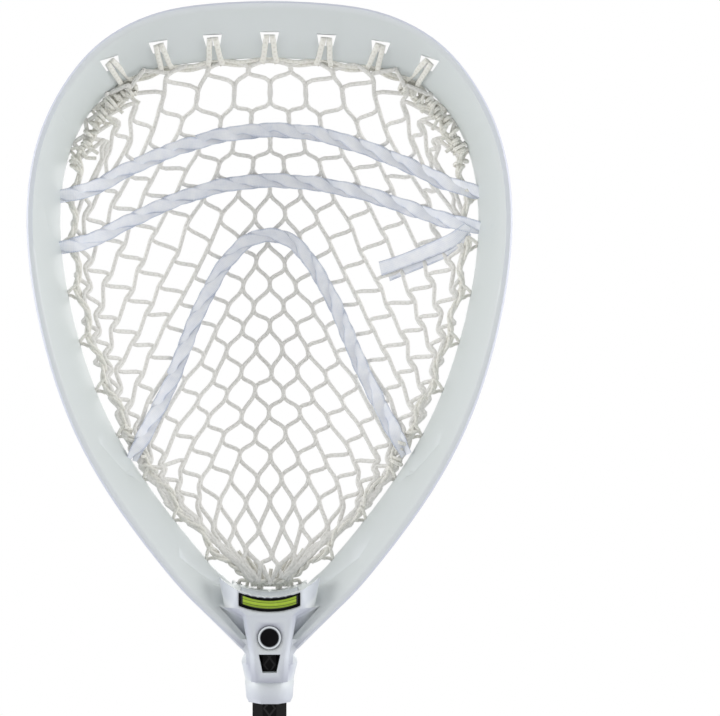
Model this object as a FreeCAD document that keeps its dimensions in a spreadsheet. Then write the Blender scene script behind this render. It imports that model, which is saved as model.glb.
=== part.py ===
import FreeCAD, Part
import math
import os

import Sketcher
from FreeCAD import Placement, Rotation, Vector

# A goalkeeper's lacrosse stick, standing on its butt: +Z runs up the shaft to the scoop, -Y is the
# catching side and the pocket bulges to +Y.  The origin is the middle of the end cap's bottom face.
# Every driving size is a named cell of the sheet "Sizes", in millimetres.

SIZES = {
    # shaft: a hollow octagon with 45 degree corners
    "shaft_length": 1016,
    "shaft_width": 22.4,
    "shaft_depth": 25.4,
    "shaft_corner": 6.7,
    "shaft_wall": 1.4,
    # end cap: a rubber boot over the butt, with a thicker bead round its foot
    "cap_floor": 4,
    "cap_wall": 1.8,
    "cap_skirt": 40,
    "cap_clearance": 0.06,
    "cap_bead": 1.4,
    "cap_bead_height": 9,
    "cap_round": 1.6,
    # head: its outline seen from the catching side, and how deep it sits on the shaft
    "head_length": 460.3,
    "head_width": 320,
    "socket_depth": 62,
    "socket_clearance": 0.1,
    # side wall: front rim, slanted web and rear rail
    "rim_width": 5.5,
    "rim_height": 5.5,
    "rim_round": 1.3,
    "web": 3.4,
    "web_start": 2,
    "rail_width": 7,
    "rail_height": 7,
    "flute_width": 6,
    "flute_depth": 2,
    "wall_depth_scoop": 33,
    "wall_depth_side": 47,
    "wall_depth_throat": 33,
    "inset_scoop": 33,
    "inset_side": 17.5,
    "inset_throat": 23,
    "rim_forward_scoop": 10,
    "rim_forward_side": 5,
    "rim_forward_throat": 16.5,
    # holes for the strings
    "scoop_hole_pitch": 40,
    "scoop_hole_width": 13,
    "scoop_hole_height": 7,
    "scoop_hole_from_rail": 11.6,
    "string_hole": 4.6,
    "side_holes": 11,
    # collar, neck and throat
    "lip_wall": 2.4,
    "lip_flare": 1.6,
    "lip_height": 3.5,
    "ring_wall": 4.9,
    "ring_height": 13.8,
    "ring_step": 0.5,
    "shoulder_wall": 7.1,
    "shoulder_round": 1.5,
    "collar_height": 28,
    "neck_wall": 3.8,
    "throat_height": 84,
    "plate_bevel": 3.3,
    "plate_badge_bevel": 9,
    "plate_neck_width": 19,
    "plate_badge_width": 41.2,
    "shelf_back": 25,
    "shelf_half_width": 25,
    "shelf_thickness": 7,
    "floor_height": 70.6,
    "floor_radius": 53,
    "window_height": 12,
    "window_top_width": 14.4,
    "window_bottom_width": 9.2,
    "window_bottom": 21,
    "recess_depth": 10,
    "recess_inner": 15.6,
    "recess_outer": 33.2,
    "recess_bottom": 43.6,
    "recess_top": 63.6,
    # ball stop, badge and emblem
    "stop_thickness": 5,
    "stop_half_width": 19,
    "stop_front_lip": 5,
    "stop_length": 22,
    "soft_gap": 0.35,
    "badge_width": 40,
    "badge_height": 8.5,
    "badge_sag": 3.9,
    "badge_bottom": 64.9,
    "badge_border": 1.5,
    "inlay_depth": 1.1,
    "inlay_proud": 0.5,
    "inlay_gap": 0.05,
    "inlay_sink": 0.2,
    "emblem_height": 44,
    "emblem_radius": 7.7,
    "emblem_disc_radius": 5.9,
    # screw through the back of the collar into the shaft
    "screw_height": 18,
    "screw_radius": 2.1,
    "screw_clearance": 0.05,
    "screw_seat_clearance": 0.4,
    "screw_length": 14,
    "screw_head_radius": 4.4,
    "screw_head_height": 2.4,
    # stringing
    "pocket_depth": 65,
    "mesh_thickness": 2.4,
    "string_band": 12,
    "lace_width": 9,
    "lace_thickness": 1.8,
    "lace_gap": 0.8,
    "knot_radius": 3.6,
}

doc = FreeCAD.newDocument("lacrosse_stick")
sheet = doc.addObject("Spreadsheet::Sheet", "Sizes")
for row, (name, size) in enumerate(SIZES.items(), start=1):
    sheet.set(f"A{row}", name)
    sheet.set(f"B{row}", str(size))
    sheet.setAlias(f"B{row}", name)
doc.recompute()


class Sheet:
    """Reads a cell by its alias, as size.shaft_length."""

    def __getattr__(self, alias):
        return float(sheet.get(alias))


size = Sheet()
collar_z = size.cap_floor + size.shaft_length - size.socket_depth
PIECES = []


def keep(piece, label):
    piece.Label = label
    PIECES.append(piece)
    return piece


def feature(label, shape):
    """A piece whose shape is worked out below from the sheet's values."""
    piece = doc.addObject("Part::Feature", label)
    piece.Shape = shape
    return keep(piece, label)


# ---------------------------------------------------------------- sketched bodies


def number(formula):
    """The value that a sheet formula has now."""
    sheet.set("D1", "=" + formula)
    sheet.recompute()
    return float(sheet.get("D1"))


def bound(formula):
    """A sheet formula as an expression of another object."""
    for alias in sorted(SIZES, key=len, reverse=True):
        formula = formula.replace(alias, "<" + str(list(SIZES).index(alias)) + ">")
    for index, alias in enumerate(SIZES):
        formula = formula.replace("<" + str(index) + ">", "Sizes." + alias)
    return formula


def sketch(body, name, role, offset=""):
    """An empty sketch on one of the body's own origin planes, moved along its normal."""
    result = body.newObject("Sketcher::SketchObject", name)
    plane = next(item for item in body.Origin.OriginFeatures if item.Role == role)
    result.AttachmentSupport = [(plane, "")]
    result.MapMode = "FlatFace"
    if offset:
        result.setExpression("AttachmentOffset.Base.z", bound(offset))
    return result


def add_polygon(target, corners):
    """A closed outline; each corner is a pair of sheet formulas."""
    points = [Vector(number(across), number(up), 0) for across, up in corners]
    first = target.GeometryCount
    count = len(points)
    for index in range(count):
        target.addGeometry(Part.LineSegment(points[index], points[(index + 1) % count]))
    for index in range(count):
        after = first + (index + 1) % count
        target.addConstraint(Sketcher.Constraint("Coincident", first + index, 2, after, 1))
    for index, (across, up) in enumerate(corners):
        point = points[index]
        for kind, formula, value in (("DistanceX", across, point.x), ("DistanceY", up, point.y)):
            constraint = target.addConstraint(Sketcher.Constraint(kind, -1, 1, first + index, 1, value))
            target.setExpression(f"Constraints[{constraint}]", bound(formula))


def add_circle(target, radius, up="0"):
    circle = target.addGeometry(Part.Circle(Vector(0, number(up), 0), Vector(0, 0, 1), number(radius)))
    target.addConstraint(Sketcher.Constraint("PointOnObject", circle, 3, -2))
    place = target.addConstraint(Sketcher.Constraint("DistanceY", -1, 1, circle, 3, number(up)))
    target.setExpression(f"Constraints[{place}]", bound(up))
    round_size = target.addConstraint(Sketcher.Constraint("Radius", circle, number(radius)))
    target.setExpression(f"Constraints[{round_size}]", bound(radius))


def octagon(grow):
    """Corners of the shaft's octagon, moved outwards by a sheet formula."""
    wide = f"(shaft_width / 2 + ({grow}))"
    deep = f"(shaft_depth / 2 + ({grow}))"
    ease = f"(shaft_corner + ({grow}) * {2 - math.sqrt(2):.6f})"
    quarter = [(f"{wide} - {ease}", f"-{deep}"), (wide, f"{ease} - {deep}"),
               (wide, f"{deep} - {ease}"), (f"{wide} - {ease}", deep)]
    return quarter + [(f"-({across})", f"-({up})") for across, up in quarter]


def pad(body, profile, length, name):
    result = body.newObject("PartDesign::Pad", name)
    result.Profile = profile
    result.setExpression("Length", bound(length))
    return result


def pocket(body, profile, length, name, reverse=False):
    result = body.newObject("PartDesign::Pocket", name)
    result.Profile = profile
    result.Reversed = reverse
    result.setExpression("Length", bound(length))
    return result


def fillet(body, base, radius, wanted, name):
    """Rounds the edges of the base for which wanted(edge) is true."""
    doc.recompute()
    result = body.newObject("PartDesign::Fillet", name)
    edges = [f"Edge{index}" for index, edge in enumerate(base.Shape.Edges, start=1) if wanted(edge)]
    result.Base = (base, edges)
    result.setExpression("Radius", bound(radius))
    return result


def shaft_tube():
    body = doc.addObject("PartDesign::Body", "shaft_tube")
    body.setExpression("Placement.Base.z", bound("cap_floor"))
    outside = sketch(body, "shaft_outside", "XY_Plane")
    add_polygon(outside, octagon("0"))
    pad(body, outside, "shaft_length", "shaft_bar")
    inside = sketch(body, "shaft_inside", "XY_Plane")
    add_polygon(inside, octagon("0 - shaft_wall"))
    pocket(body, inside, "shaft_length", "shaft_bore", reverse=True)
    pilot = sketch(body, "screw_pilot", "XZ_Plane")
    add_circle(pilot, "screw_radius + screw_clearance", "shaft_length - socket_depth + screw_height")
    pocket(body, pilot, "shaft_depth", "screw_hole")
    return keep(body, "shaft_tube")


def end_cap():
    body = doc.addObject("PartDesign::Body", "end_cap")
    skirt = sketch(body, "cap_outside", "XY_Plane")
    add_polygon(skirt, octagon("cap_clearance + cap_wall"))
    pad(body, skirt, "cap_floor + cap_skirt", "cap_boot")
    bead = sketch(body, "cap_foot", "XY_Plane")
    add_polygon(bead, octagon("cap_clearance + cap_wall + cap_bead"))
    foot = pad(body, bead, "cap_bead_height", "cap_bead_ring")
    flat_feet = fillet(body, foot, "cap_round", lambda edge: edge.BoundBox.ZMax < 0.001, "cap_foot_round")
    rim = number("cap_floor + cap_skirt")
    fillet(body, flat_feet, "cap_wall / 2", lambda edge: edge.BoundBox.ZMin > rim - 0.001, "cap_rim_round")
    doc.recompute()
    hollow = sketch(body, "cap_inside", "XY_Plane", "cap_floor")
    add_polygon(hollow, octagon("cap_clearance"))
    pocket(body, hollow, "cap_skirt", "cap_hollow", reverse=True)
    return keep(body, "end_cap")


def head_screw():
    """A pan head screw, drawn up its own Z and turned so that its head looks to +Y."""
    body = doc.addObject("PartDesign::Body", "head_screw")
    profile = sketch(body, "screw_profile", "XZ_Plane")
    corners = [("0", "0 - screw_length"), ("screw_radius", "0 - screw_length + screw_radius * 1.5"),
               ("screw_radius", "0"), ("screw_head_radius", "0"),
               ("screw_head_radius", "screw_head_height * 0.45"),
               ("screw_head_radius * 0.8", "screw_head_height * 0.85"),
               ("screw_head_radius * 0.45", "screw_head_height"), ("0", "screw_head_height")]
    add_polygon(profile, corners)
    turned = body.newObject("PartDesign::Revolution", "screw_turned")
    turned.Profile = profile
    turned.ReferenceAxis = (profile, ["V_Axis"])
    turned.Angle = 360
    doc.recompute()
    cross = sketch(body, "screw_cross", "XY_Plane", "screw_head_height")
    arm, half = "screw_head_radius * 0.5", "screw_head_radius * 0.12"
    quarter = [(half, f"0 - {arm}"), (half, f"0 - {half}"), (arm, f"0 - {half}"),
               (arm, half), (half, half), (half, arm)]
    add_polygon(cross, quarter + [(f"0 - ({across})", f"0 - ({up})") for across, up in quarter])
    pocket(body, cross, "screw_head_height * 0.7", "screw_recess")
    body.Placement = Placement(Vector(0, 0, 0), Rotation(Vector(1, 0, 0), -90))
    body.setExpression("Placement.Base.y", bound("shaft_depth / 2 + ring_wall"))
    body.setExpression("Placement.Base.z", bound("cap_floor + shaft_length - socket_depth + screw_height"))
    return keep(body, "head_screw")


# ---------------------------------------------------------------- head


def ease(place, start, end):
    """0 before start, 1 after end, and a smooth rise between."""
    share = min(max((place - start) / (end - start), 0.0), 1.0)
    return share * share * (3 - 2 * share)


def along(place, name):
    """A wall size at a place round the outline: 0 is the scoop's middle, 1 is the throat."""
    scoop = getattr(size, name + "_scoop")
    side = getattr(size, name + "_side")
    throat = getattr(size, name + "_throat")
    return scoop + (side - scoop) * ease(place, 0.08, 0.32) + (throat - side) * ease(place, 0.32, 0.93)


def outline_curve():
    """The front rim's outer edge, from the middle of the scoop down the right side to the throat.

    Each point is a share of the half width and of the length."""
    shares = [(0, 1), (0.3125, 0.9933), (0.5875, 0.9668), (0.8138, 0.8988), (0.9613, 0.7962), (1, 0.6937),
              (0.9344, 0.5227), (0.6944, 0.3176), (0.3625, 0.1638), (0.1156, 0.0782)]
    points = [Vector(size.head_width / 2 * across, 0, collar_z + size.head_length * up)
              for across, up in shares]
    curve = Part.BSplineCurve()
    curve.interpolate(Points=points, InitialTangent=Vector(1, 0, 0), FinalTangent=Vector(-1, 0, -1))
    return curve


OUTLINE = outline_curve()
OUTLINE_LENGTH = OUTLINE.length()
# Places round the outline: where the arms meet the neck, and the first and last string holes.
FORK = 0.935
FIRST_HOLE, LAST_HOLE = 0.27, 0.9
# How far a cutter runs past the solid that it opens, and how far a groove's cutter stands proud.
CLEAR = 60
FLUTE_PROUD = 0.5


def rim_point(place, side=1):
    """The rim's outer edge and the outward normal there, on the right (1) or the left (-1)."""
    parameter = OUTLINE.parameterAtDistance(OUTLINE_LENGTH * place)
    point = OUTLINE.value(parameter)
    tangent = OUTLINE.tangent(parameter)[0]
    normal = Vector(-tangent.z, 0, tangent.x)
    return Vector(side * point.x, 0, point.z), Vector(side * normal.x, 0, normal.z)


def in_wall(place, side, inward, back):
    """A point of the wall: a distance inwards from the outline and a distance behind the rim."""
    point, normal = rim_point(place, side)
    return point - normal * inward + Vector(0, back - along(place, "rim_forward"), 0)


def web_slope(place):
    """How far the web's inner face leans inwards for each millimetre it runs back."""
    web_end = along(place, "wall_depth") - size.rail_height
    return (along(place, "inset") - size.rim_width) / (web_end - size.web_start)


def wall_section(place, side):
    """The wall's closed section: a rounded rim, a slanted web and a rounded rear rail."""
    inset = along(place, "inset")
    depth = along(place, "wall_depth")
    rim, ease_in = size.rim_width, size.rim_round
    web_start, web_end = size.web_start, depth - size.rail_height
    slope = web_slope(place)
    web = size.web * math.hypot(1, slope)
    rail = inset - size.rail_width
    high, low = size.rim_height + 3.5, depth - size.rail_height - 3
    outline = [(ease_in, 0), (0, ease_in), (0, size.rim_height),
               (rim + slope * (high - web_start) - web, high), (rim + slope * (low - web_start) - web, low),
               (rail, depth - size.rail_height + 1), (rail, depth - ease_in), (rail + ease_in, depth),
               (inset - ease_in, depth), (inset, depth - ease_in), (inset, web_end),
               (rim, web_start), (rim - ease_in, 0)]
    points = [in_wall(place, side, inward, back) for inward, back in outline]
    return Part.makePolygon(points + points[:1])


def wall():
    """Both side walls and the scoop in one loft, and a short loft for each arm's foot at the throat."""
    steps = 14
    shares = [FORK * step / steps for step in range(steps + 1)]
    left = [wall_section(place, -1) for place in reversed(shares[1:])]
    ring = left + [wall_section(place, 1) for place in shares]
    feet = [[wall_section(place, side) for place in (FORK, (1 + FORK) / 2, 1)] for side in (-1, 1)]
    return [Part.makeLoft(sections, True, False) for sections in [ring] + feet]


def flute(side, start, end, width, depth):
    """A cutter for a groove in the wall's inner face, which opens from a point and ends bluntly.

    Its start and its end are each a place round the outline and a distance inwards from it."""
    sections = []
    for share, growth in ((0, 0.06), (0.85, 1), (1, 0.35)):
        place = start[0] + (end[0] - start[0]) * share
        inward = start[1] + (end[1] - start[1]) * share
        corners = []
        for across, sunk in ((-0.5, -FLUTE_PROUD), (0.5, -FLUTE_PROUD), (-0.35, depth * growth)):
            reach = inward + across * width * growth
            face = size.web_start + (reach - size.rim_width) / web_slope(place)
            corners.append(in_wall(place, side, reach, face + sunk))
        sections.append(Part.makePolygon(corners + corners[:1]))
    return Part.makeLoft(sections, True, True)


def flutes():
    """On each side a shallow long groove high up, a deeper one lower down and one above the throat."""
    cutters = []
    for side in (-1, 1):
        cutters.append(flute(side, (0.30, 8.0), (0.44, 12.5), size.flute_width * 0.8, size.flute_depth * 0.5))
        cutters.append(flute(side, (0.71, 11.0), (0.765, 18.0), size.flute_width, size.flute_depth))
        cutters.append(flute(side, (0.875, 12.0), (0.935, 19.0), size.flute_width, size.flute_depth))
    return cutters


def octagon_wire(grow, height):
    wide = size.shaft_width / 2 + grow
    deep = size.shaft_depth / 2 + grow
    corner = size.shaft_corner + grow * (2 - math.sqrt(2))
    quarter = [(wide - corner, -deep), (wide, corner - deep),
               (wide, deep - corner), (wide - corner, deep)]
    ring = quarter + [(-across, -back) for across, back in quarter]
    points = [Vector(across, back, height) for across, back in ring]
    return Part.makePolygon(points + points[:1])


def collar():
    """The flared sleeve round the shaft: a chamfered lip, a ring, a step, a shoulder and the neck."""
    stations = [(size.lip_wall, 0), (size.lip_wall + size.lip_flare, size.lip_height),
                (size.ring_wall, size.ring_height),
                (size.ring_wall - size.ring_step, size.ring_height + size.ring_step),
                (size.shoulder_wall, size.collar_height - size.shoulder_round),
                (size.shoulder_wall - size.shoulder_round, size.collar_height + size.shoulder_round),
                (size.neck_wall, size.collar_height + 2 * size.shoulder_round)]
    return Part.makeLoft([octagon_wire(grow, collar_z + up) for grow, up in stations], True, True)


def front_y():
    """The throat's flat front facet, in which the badge and the emblem are inlaid."""
    return -(size.shaft_depth / 2 + size.shoulder_wall)


def plate_section(height, facet, bevel, side_back):
    """The front plate at one height: a flat facet between two bevels, and a body behind it."""
    front = front_y()
    half, wide, rear = facet / 2, facet / 2 + bevel, facet / 2 + size.plate_bevel
    ring = [(-wide, front + bevel), (-half, front), (half, front),
            (wide, front + bevel), (rear, side_back), (-rear, side_back)]
    points = [Vector(across, deep, collar_z + height) for across, deep in ring]
    return Part.makePolygon(points + points[:1])


def front_plate():
    """The raised column from the collar's ring up to the badge.

    It widens under the badge, where its bevels grow and run out into the side walls."""
    neck, badge = size.plate_neck_width, size.plate_badge_width
    narrow, wide = size.plate_bevel, size.plate_badge_bevel
    stations = [(size.ring_height + 1, neck - 2, narrow), (size.collar_height + 3, neck, narrow),
                (size.badge_bottom - 7, neck * 1.5, narrow), (size.badge_bottom - 2, badge, wide),
                (size.throat_height, badge + 2, wide + 3)]
    return Part.makeLoft([plate_section(up, facet, bevel, 0) for up, facet, bevel in stations], True, True)


def fork_outline(places, edge=0.6):
    """The outline between the two walls and the neck; its sides run a given distance inside the rim."""
    neck_half = size.shaft_width / 2 + size.neck_wall
    start = collar_z + size.collar_height
    right = [(neck_half, start - 2), (neck_half + 0.4, start + 4.5)]
    for place in places:
        point, normal = rim_point(place)
        inner = point - normal * edge
        right.append((max(inner.x, neck_half + 0.4), inner.z))
    return right + [(-across, up) for across, up in reversed(right)]


def fork_prism(places, front, back):
    """A solid between the two walls and the neck; its sides run just inside the rim."""
    return prism(fork_outline(places), front, back)


def web_block():
    """The solid behind the plate, which fills the fork and narrows to the back as the two walls do."""
    front = size.rim_height - size.rim_round - size.rim_forward_throat
    back = size.shaft_depth / 2 + size.neck_wall - 0.3
    rings = []
    for edge, deep in ((0.6, front), (size.inset_throat - size.rail_width, back)):
        corners = [Vector(across, deep, up) for across, up in fork_outline((0.998, 0.965, FORK), edge)]
        rings.append(Part.makePolygon(corners + corners[:1]))
    return Part.makeLoft(rings, True, True)


def neck_front():
    """Carries the two rims down into the neck."""
    return fork_prism((0.998, 0.985), -size.rim_forward_throat + 0.2, 0)


def shelf():
    """The ledge behind the throat's floor that carries the bottom string's holes."""
    half = size.shelf_half_width
    low = collar_z + size.floor_height - size.shelf_thickness
    high = collar_z + size.throat_height
    return prism([(-half, low), (half, low), (half, high), (-half, high)], 0, size.shelf_back)


def prism(points, front, back):
    """An outline in the XZ plane, given as pairs, pushed from front to back along Y."""
    corners = [Vector(across, front, up) for across, up in points]
    face = Part.Face(Part.makePolygon(corners + corners[:1]))
    return face.extrude(Vector(0, back - front, 0))


def cylinder(radius, start, axis, length):
    return Part.makeCylinder(radius, length, start, axis)


def floor_cylinder(deeper, front, back):
    """The round floor of the throat, as a cutter that runs along Y."""
    middle = Vector(0, front, collar_z + size.floor_height + size.floor_radius)
    return cylinder(size.floor_radius + deeper, middle, Vector(0, 1, 0), back - front)


def stop_slot(side_gap, bottom_gap):
    """The space of the ball stop: between the throat's floor and a deeper cylinder, behind the front lip."""
    front = front_y() + size.stop_front_lip + side_gap
    back = front + size.stop_length - 2 * side_gap
    half = size.stop_half_width - side_gap
    low = collar_z + size.socket_depth
    box = Part.makeBox(2 * half, back - front, 2 * size.floor_radius, Vector(-half, front, low))
    return floor_cylinder(size.stop_thickness - bottom_gap, front, back).common(box)


def smile(border, front, back):
    """The badge's outline: two arcs that sag in the middle, joined by short upright ends."""
    half = size.badge_width / 2 - border
    low = collar_z + size.badge_bottom + border
    high = low + size.badge_height - 2 * border
    corners = [Vector(-half, front, low), Vector(0, front, low - size.badge_sag), Vector(half, front, low),
               Vector(half, front, high), Vector(0, front, high - size.badge_sag), Vector(-half, front, high)]
    edges = [Part.Arc(*corners[:3]).toShape(), Part.LineSegment(corners[2], corners[3]).toShape(),
             Part.Arc(*corners[3:]).toShape(), Part.LineSegment(corners[5], corners[0]).toShape()]
    return Part.Face(Part.Wire(edges)).extrude(Vector(0, back - front, 0))


def seat_y():
    """The flat under the screw's head, sunk in the back of the collar."""
    return size.shaft_depth / 2 + size.ring_wall


def scoop_holes():
    """Seven openings in the scoop, wider at the top, evenly spaced round its middle.

    Each leans half as much as the rim does there."""
    holes = []
    for index in range(-3, 4):
        side = 1 if index >= 0 else -1
        place = abs(index) * size.scoop_hole_pitch / OUTLINE_LENGTH
        edge, normal = rim_point(place, side)
        middle = edge - normal * (along(place, "inset") - size.scoop_hole_from_rail)
        upright = (normal + Vector(0, 0, 1)).normalize()
        across = Vector(upright.z, 0, -upright.x)
        high, low = size.scoop_hole_height / 2, -size.scoop_hole_height / 2
        wide, narrow = size.scoop_hole_width / 2, size.scoop_hole_width * 0.36
        corners = [middle + across * reach + upright * up
                   for reach, up in ((-wide, high), (wide, high), (narrow, low), (-narrow, low))]
        holes.append(prism([(corner.x, corner.z) for corner in corners], -CLEAR, CLEAR))
    return holes


def hole_places():
    """Places of the string holes down each side wall."""
    count = int(size.side_holes)
    return [FIRST_HOLE + (LAST_HOLE - FIRST_HOLE) * index / (count - 1) for index in range(count)]


def side_hole_cutters():
    """Round holes through the rear rail, square to the wall."""
    holes = []
    for side in (-1, 1):
        for place in hole_places():
            inset, depth = along(place, "inset"), along(place, "wall_depth")
            outer = in_wall(place, side, inset - size.rail_width - 4, depth - size.rail_height / 2)
            normal = rim_point(place, side)[1]
            holes.append(cylinder(size.string_hole / 2, outer, normal * -1, size.rail_width + 8))
    return holes


def floor_hole_cutters():
    """Four upright holes at the back of the throat, for the string that closes the pocket."""
    back = size.shelf_back - size.string_hole / 2 - 2.2
    low = collar_z + size.floor_height - size.shelf_thickness - 1
    reach = size.shelf_half_width - size.string_hole
    starts = [Vector(reach * share, back, low) for share in (-1, -0.35, 0.35, 1)]
    return [cylinder(size.string_hole / 2, start, Vector(0, 0, 1), size.throat_height) for start in starts]


def side_recess(side):
    """The three-cornered hollow between the throat's column and a side wall."""
    inner, outer = size.recess_inner, size.recess_outer
    corners = [(inner, size.recess_bottom), (outer, size.recess_top),
               (inner + 1.8, size.recess_bottom + 11.5)]
    outline = [(side * across, collar_z + up) for across, up in corners]
    return prism(outline, front_y() - CLEAR, front_y() + size.recess_depth)


def window():
    """The opening in the front of the neck through which the shaft shows."""
    low = collar_z + size.window_bottom
    high = low + size.window_height
    top, bottom = size.window_top_width / 2, size.window_bottom_width / 2
    return prism([(-bottom, low), (bottom, low), (top, high), (-top, high)], front_y() - CLEAR, 0)


def emblem_seat():
    """The round hollow in the front plate for the emblem."""
    start = Vector(0, front_y() - CLEAR, collar_z + size.emblem_height)
    return cylinder(size.emblem_radius + size.inlay_gap, start, Vector(0, 1, 0), CLEAR + size.inlay_depth)


def badge_seat():
    """The curved hollow in the front plate for the badge."""
    return smile(-size.inlay_gap, front_y() - CLEAR, front_y() + size.inlay_depth)


def head_frame():
    ring, left_foot, right_foot = wall()
    blocks = [collar(), front_plate(), web_block(), neck_front(), shelf()]
    body = ring.fuse([left_foot, right_foot] + blocks)
    bore = octagon_wire(size.socket_clearance, collar_z - 1)
    shaft_space = Part.Face(bore).extrude(Vector(0, 0, size.socket_depth + 1 + size.socket_clearance))
    backwards = Vector(0, 1, 0)
    screw_z = collar_z + size.screw_height
    screw_hole = cylinder(size.screw_radius + size.screw_clearance, Vector(0, 0, screw_z), backwards, CLEAR)
    screw_seat = cylinder(size.screw_head_radius + size.screw_seat_clearance,
                          Vector(0, seat_y(), screw_z), backwards, CLEAR)
    cutters = [shaft_space, screw_hole, screw_seat, emblem_seat(), badge_seat(), window(),
               side_recess(-1), side_recess(1), floor_cylinder(0, -CLEAR, CLEAR), stop_slot(0, 0)]
    body = body.cut(cutters)
    body = body.cut(scoop_holes() + side_hole_cutters() + floor_hole_cutters() + flutes())
    return feature("head_frame", body.removeSplitter())


def throat_inlays():
    """The badge's border and field, and the emblem's ring and disc."""
    front, back = front_y() - size.inlay_proud, front_y() + size.inlay_depth
    field_front = front + size.inlay_sink
    outer = smile(0, front, back)
    inner = smile(size.badge_border, front - 1, back + 1)
    feature("throat_badge_frame", outer.cut(inner))
    feature("throat_badge_field", smile(size.badge_border + size.inlay_gap, field_front, back))
    backwards = Vector(0, 1, 0)
    middle = Vector(0, front, collar_z + size.emblem_height)
    ring = cylinder(size.emblem_radius, middle, backwards, back - front)
    hole = cylinder(size.emblem_disc_radius, middle - backwards, backwards, back - front + 2)
    feature("emblem_ring", ring.cut(hole))
    disc_start = middle + backwards * size.inlay_sink
    disc = cylinder(size.emblem_disc_radius - size.inlay_gap, disc_start, backwards, back - field_front)
    feature("emblem_disc", disc)


def ball_stop():
    slot = stop_slot(size.soft_gap, size.soft_gap)
    feature("ball_stop", slot.cut(floor_cylinder(0, -CLEAR, CLEAR)))


# ---------------------------------------------------------------- stringing

# Places on the outline at which the mesh starts and ends, the corner knots sit, and a margin that
# keeps the mesh's end sections off the strings.
POCKET_TOP, POCKET_BOTTOM = 0.16, 0.93
KNOT_PLACES = (0.27, 0.3, 0.33)
END_MARGIN = 0.004


def string_y(place):
    """The middle of the string holes in the rear rail."""
    return along(place, "wall_depth") - along(place, "rim_forward") - size.rail_height / 2


def pocket_edge(place):
    """Half width, height and depth of the pocket's edge at a place down the side wall."""
    point, normal = rim_point(place)
    edge = point - normal * (along(place, "inset") + size.string_band)
    return edge.x, edge.z, string_y(place)


def pocket_drop(place):
    """How far the pocket's middle hangs behind its edges."""
    share = (place - POCKET_TOP) / (POCKET_BOTTOM - POCKET_TOP)
    return size.pocket_depth * math.sin(math.pi * share ** 0.8) ** 0.85


def place_at(height):
    """The place down the wall at which the pocket's edge has this height."""
    low, high = POCKET_TOP, POCKET_BOTTOM
    for _ in range(40):
        middle = (low + high) / 2
        if pocket_edge(middle)[1] > height:
            low = middle
        else:
            high = middle
    return low


def pocket_y(across, height):
    """Depth of the mesh's front surface."""
    place = place_at(height)
    half, _, edge = pocket_edge(place)
    return edge - size.mesh_thickness / 2 + pocket_drop(place) * (1 - (across / half) ** 2)


def pocket_section(place):
    """A closed crescent at one height: front curve, end, back curve, end."""
    half, height, edge = pocket_edge(place)
    shares = (-1, -0.75, -0.5, -0.25, 0, 0.25, 0.5, 0.75, 1)
    drop = pocket_drop(place)
    face = edge - size.mesh_thickness / 2
    front = [Vector(half * share, face + drop * (1 - share * share), height) for share in shares]
    back = [point + Vector(0, size.mesh_thickness, 0) for point in front]
    front_curve = Part.BSplineCurve()
    front_curve.interpolate(front)
    back_curve = Part.BSplineCurve()
    back_curve.interpolate(back[::-1])
    right_end = Part.LineSegment(front[-1], back[-1])
    left_end = Part.LineSegment(back[0], front[0])
    return Part.Wire([edge.toShape() for edge in (front_curve, right_end, back_curve, left_end)])


def mesh_pocket():
    steps = 14
    places = [POCKET_TOP + (POCKET_BOTTOM - POCKET_TOP) * step / steps for step in range(steps + 1)]
    places[0] += END_MARGIN
    places[-1] -= END_MARGIN
    feature("mesh_pocket", Part.makeLoft([pocket_section(place) for place in places], True, False))


def sidewall_string(label, side):
    """The band that the zigzag string fills between the rear rail and the mesh."""
    steps = 12
    first, last = POCKET_TOP + 0.03, POCKET_BOTTOM - 0.03
    sections = []
    for step in range(steps + 1):
        place = first + (last - first) * step / steps
        inset, depth = along(place, "inset"), along(place, "wall_depth")
        near = inset + 2 * size.soft_gap
        far = inset + size.string_band - 2 * size.soft_gap
        low = depth - size.rail_height / 2 - size.mesh_thickness / 2
        high = low + size.mesh_thickness
        points = [in_wall(place, side, inward, back)
                  for inward, back in ((near, low), (far, low), (far, high), (near, high))]
        sections.append(Part.makePolygon(points + points[:1]))
    feature(label, Part.makeLoft(sections, True, False))


def top_string():
    """The string between the scoop's rail and the mesh's top row."""
    reach = POCKET_TOP + 0.018
    steps = 6
    places = [reach * step / steps for step in range(steps + 1)]
    right = []
    for place in places:
        point, normal = rim_point(place)
        right.append(point - normal * (along(place, "inset") + size.soft_gap))
    upper = [(-point.x, point.z) for point in right[:0:-1]] + [(point.x, point.z) for point in right]
    bottom = pocket_edge(POCKET_TOP + END_MARGIN)[1] + size.soft_gap
    half = pocket_edge(POCKET_TOP)[0]
    outline = upper + [(half, bottom), (-half, bottom)]
    front = string_y(POCKET_TOP / 2) - size.mesh_thickness / 2
    feature("top_string", prism(outline, front, front + size.mesh_thickness))


def bottom_string():
    """The string that closes the pocket at the throat."""
    half, height, back = pocket_edge(POCKET_BOTTOM - END_MARGIN)
    low = collar_z + size.floor_height + size.soft_gap
    rise = size.floor_radius - math.sqrt(size.floor_radius ** 2 - (half * 0.5) ** 2)
    outline = [(-half * 0.85, height - size.soft_gap), (half * 0.85, height - size.soft_gap),
               (half * 0.5, low + rise), (0, low), (-half * 0.5, low + rise)]
    front = back - size.mesh_thickness / 2
    feature("bottom_string", prism(outline, front, front + size.mesh_thickness))


# The longest step between two sections of a lace.
LACE_STEP = 22


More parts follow.
